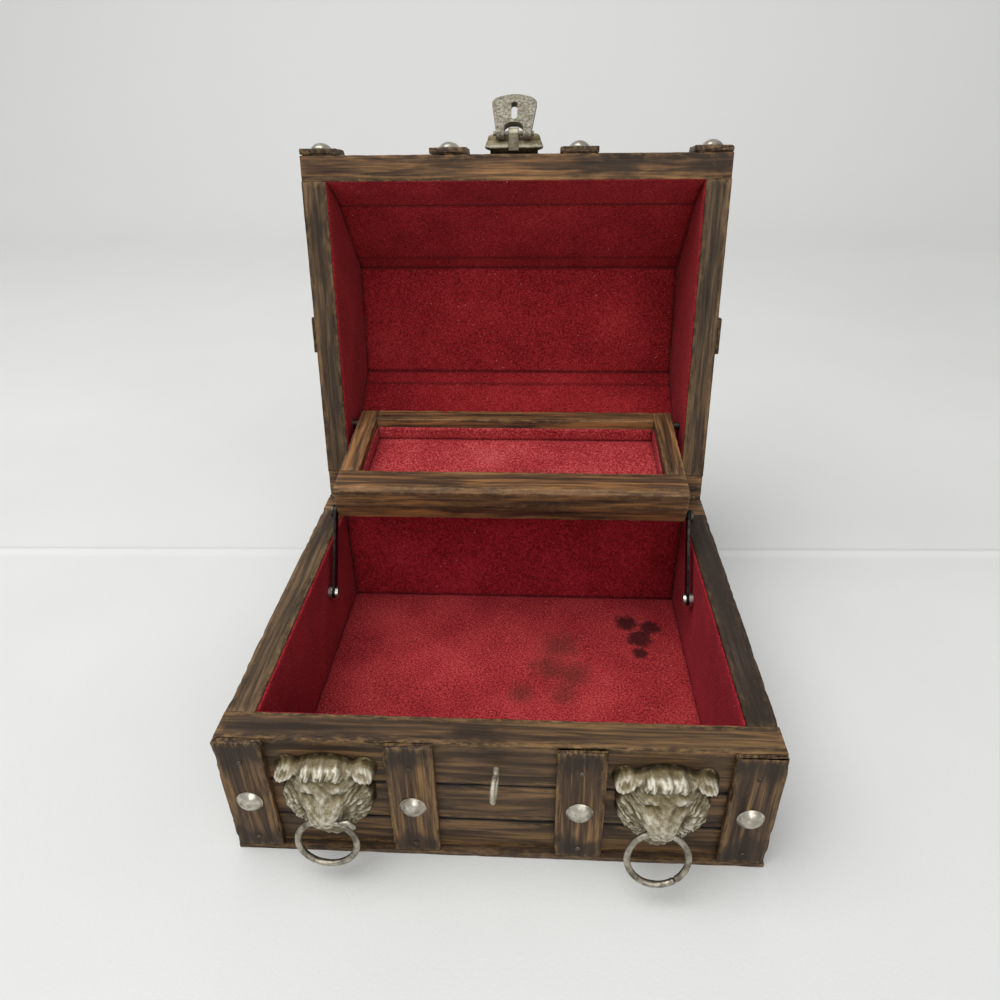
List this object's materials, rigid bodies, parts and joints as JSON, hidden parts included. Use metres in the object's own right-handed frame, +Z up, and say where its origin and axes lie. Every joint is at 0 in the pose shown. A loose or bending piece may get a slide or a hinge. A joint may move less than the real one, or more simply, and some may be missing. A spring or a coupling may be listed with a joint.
{
  "type": "trinket box",
  "caption": "Wooden treasure-chest trinket box with an arched lid, felt lining, a tray that swings up as the lid opens, a hasp and ring pulls in lion masks",
  "frame": {"origin": "centre of the box's underside, which lies at Z 0", "axes": "+X to the right of the box seen from its front, +Y from the front with the lion masks to the hinges, +Z up"},
  "size_m": [0.1904, 0.2505, 0.2228],
  "materials": {
    "board_wood": "stained and singed softwood, rubbed satin",
    "strap_wood": "darker stained softwood with worn edges",
    "tray_wood": "stained softwood, satin",
    "bottom_ply": "raw thin plywood, dark stained edge",
    "crimson_felt": "short crimson felt",
    "antique_castings": "antique silver plated casting, worn",
    "nickel_nails": "dull nickel",
    "steel_pins": "dull steel",
    "pivot_steel": "zinc plated",
    "hinge_steel": "antique plated",
    "arm_steel": "darkened steel strip"
  },
  "bodies": {
    "base": {"arm_foot_screws": "pivot_steel", "arm_foot_washers": "pivot_steel", "base_bottom": "bottom_ply", "base_dome_nails": "nickel_nails", "base_floor_lining": "crimson_felt", "base_front_board": "board_wood", "base_front_strap_1": "strap_wood", "base_front_strap_2": "strap_wood", "base_front_strap_3": "strap_wood", "base_front_strap_4": "strap_wood", "base_hinge_leaves": "hinge_steel", "base_hinge_screws": "hinge_steel", "base_left_board": "board_wood", "base_pin_nails": "steel_pins", "base_rear_board": "board_wood", "base_rear_straps": "strap_wood", "base_right_board": "board_wood", "base_wall_linings": "crimson_felt", "hinge_pins": "hinge_steel", "lion_mask_left": "antique_castings", "lion_mask_right": "antique_castings", "screw_eye": "antique_castings"},
    "lid": {"hasp_pin": "antique_castings", "hasp_plate": "antique_castings", "lid_dome_nails": "nickel_nails", "lid_end_linings": "crimson_felt", "lid_end_straps": "strap_wood", "lid_front_rail": "board_wood", "lid_front_slope": "board_wood", "lid_hinge_leaves": "hinge_steel", "lid_hinge_screws": "hinge_steel", "lid_left_end": "board_wood", "lid_pin_nails": "steel_pins", "lid_rail_linings": "crimson_felt", "lid_rear_rail": "board_wood", "lid_rear_slope": "board_wood", "lid_right_end": "board_wood", "lid_slope_linings": "crimson_felt", "lid_strap_1": "strap_wood", "lid_strap_2": "strap_wood", "lid_strap_3": "strap_wood", "lid_strap_4": "strap_wood", "lid_top_lining": "crimson_felt", "lid_top_panel": "board_wood", "tray_rear_pins": "pivot_steel"},
    "tray": {"arm_tray_pins": "pivot_steel", "tray_floor": "tray_wood", "tray_floor_lining": "crimson_felt", "tray_front_rail": "tray_wood", "tray_left_rail": "tray_wood", "tray_rear_rail": "tray_wood", "tray_right_rail": "tray_wood", "tray_wall_linings": "crimson_felt"},
    "arm_left": {"arm_left": "arm_steel"},
    "arm_right": {"arm_right": "arm_steel"},
    "hasp": {"hasp_tongue": "antique_castings"},
    "ring_pull_left": {"ring_pull_left": "antique_castings"},
    "ring_pull_right": {"ring_pull_right": "antique_castings"}
  },
  "joints": [
    {"name": "lid_hinge", "type": "hinge", "parent": "base", "child": "lid", "pos_m": [0, 0.07735, 0.0514], "axis": [1, 0, 0], "range_deg": [0, 99.2]},
    {"name": "tray_pivot", "type": "hinge", "parent": "lid", "child": "tray", "pos_m": [0, 0.09557, 0.08245], "axis": [1, 0, 0], "range_deg": [-99.2, 0]},
    {"name": "arm_left_pivot", "type": "hinge", "parent": "base", "child": "arm_left", "pos_m": [-0.0767, 0.02334, 0.034], "axis": [1, 0, 0], "range_deg": [0, 99.2]},
    {"name": "arm_right_pivot", "type": "hinge", "parent": "base", "child": "arm_right", "pos_m": [0.0767, 0.02334, 0.034], "axis": [1, 0, 0], "range_deg": [0, 99.2]},
    {"name": "hasp_swing", "type": "hinge", "parent": "lid", "child": "hasp", "pos_m": [0, 0.10413, 0.20925], "axis": [1, 0, 0], "range_deg": [0, 132]},
    {"name": "ring_left_swing", "type": "hinge", "parent": "base", "child": "ring_pull_left", "pos_m": [-0.0544, -0.08625, 0.0276], "axis": [-1, 0, 0], "range_deg": [0, 79]},
    {"name": "ring_right_swing", "type": "hinge", "parent": "base", "child": "ring_pull_right", "pos_m": [0.0516, -0.08625, 0.0276], "axis": [-1, 0, 0], "range_deg": [0, 69]}
  ],
  "couplings": [
    {"joint": "tray_pivot", "follows": "lid_hinge", "ratio": -1},
    {"joint": "arm_left_pivot", "follows": "lid_hinge", "ratio": 1},
    {"joint": "arm_right_pivot", "follows": "lid_hinge", "ratio": 1}
  ]
}
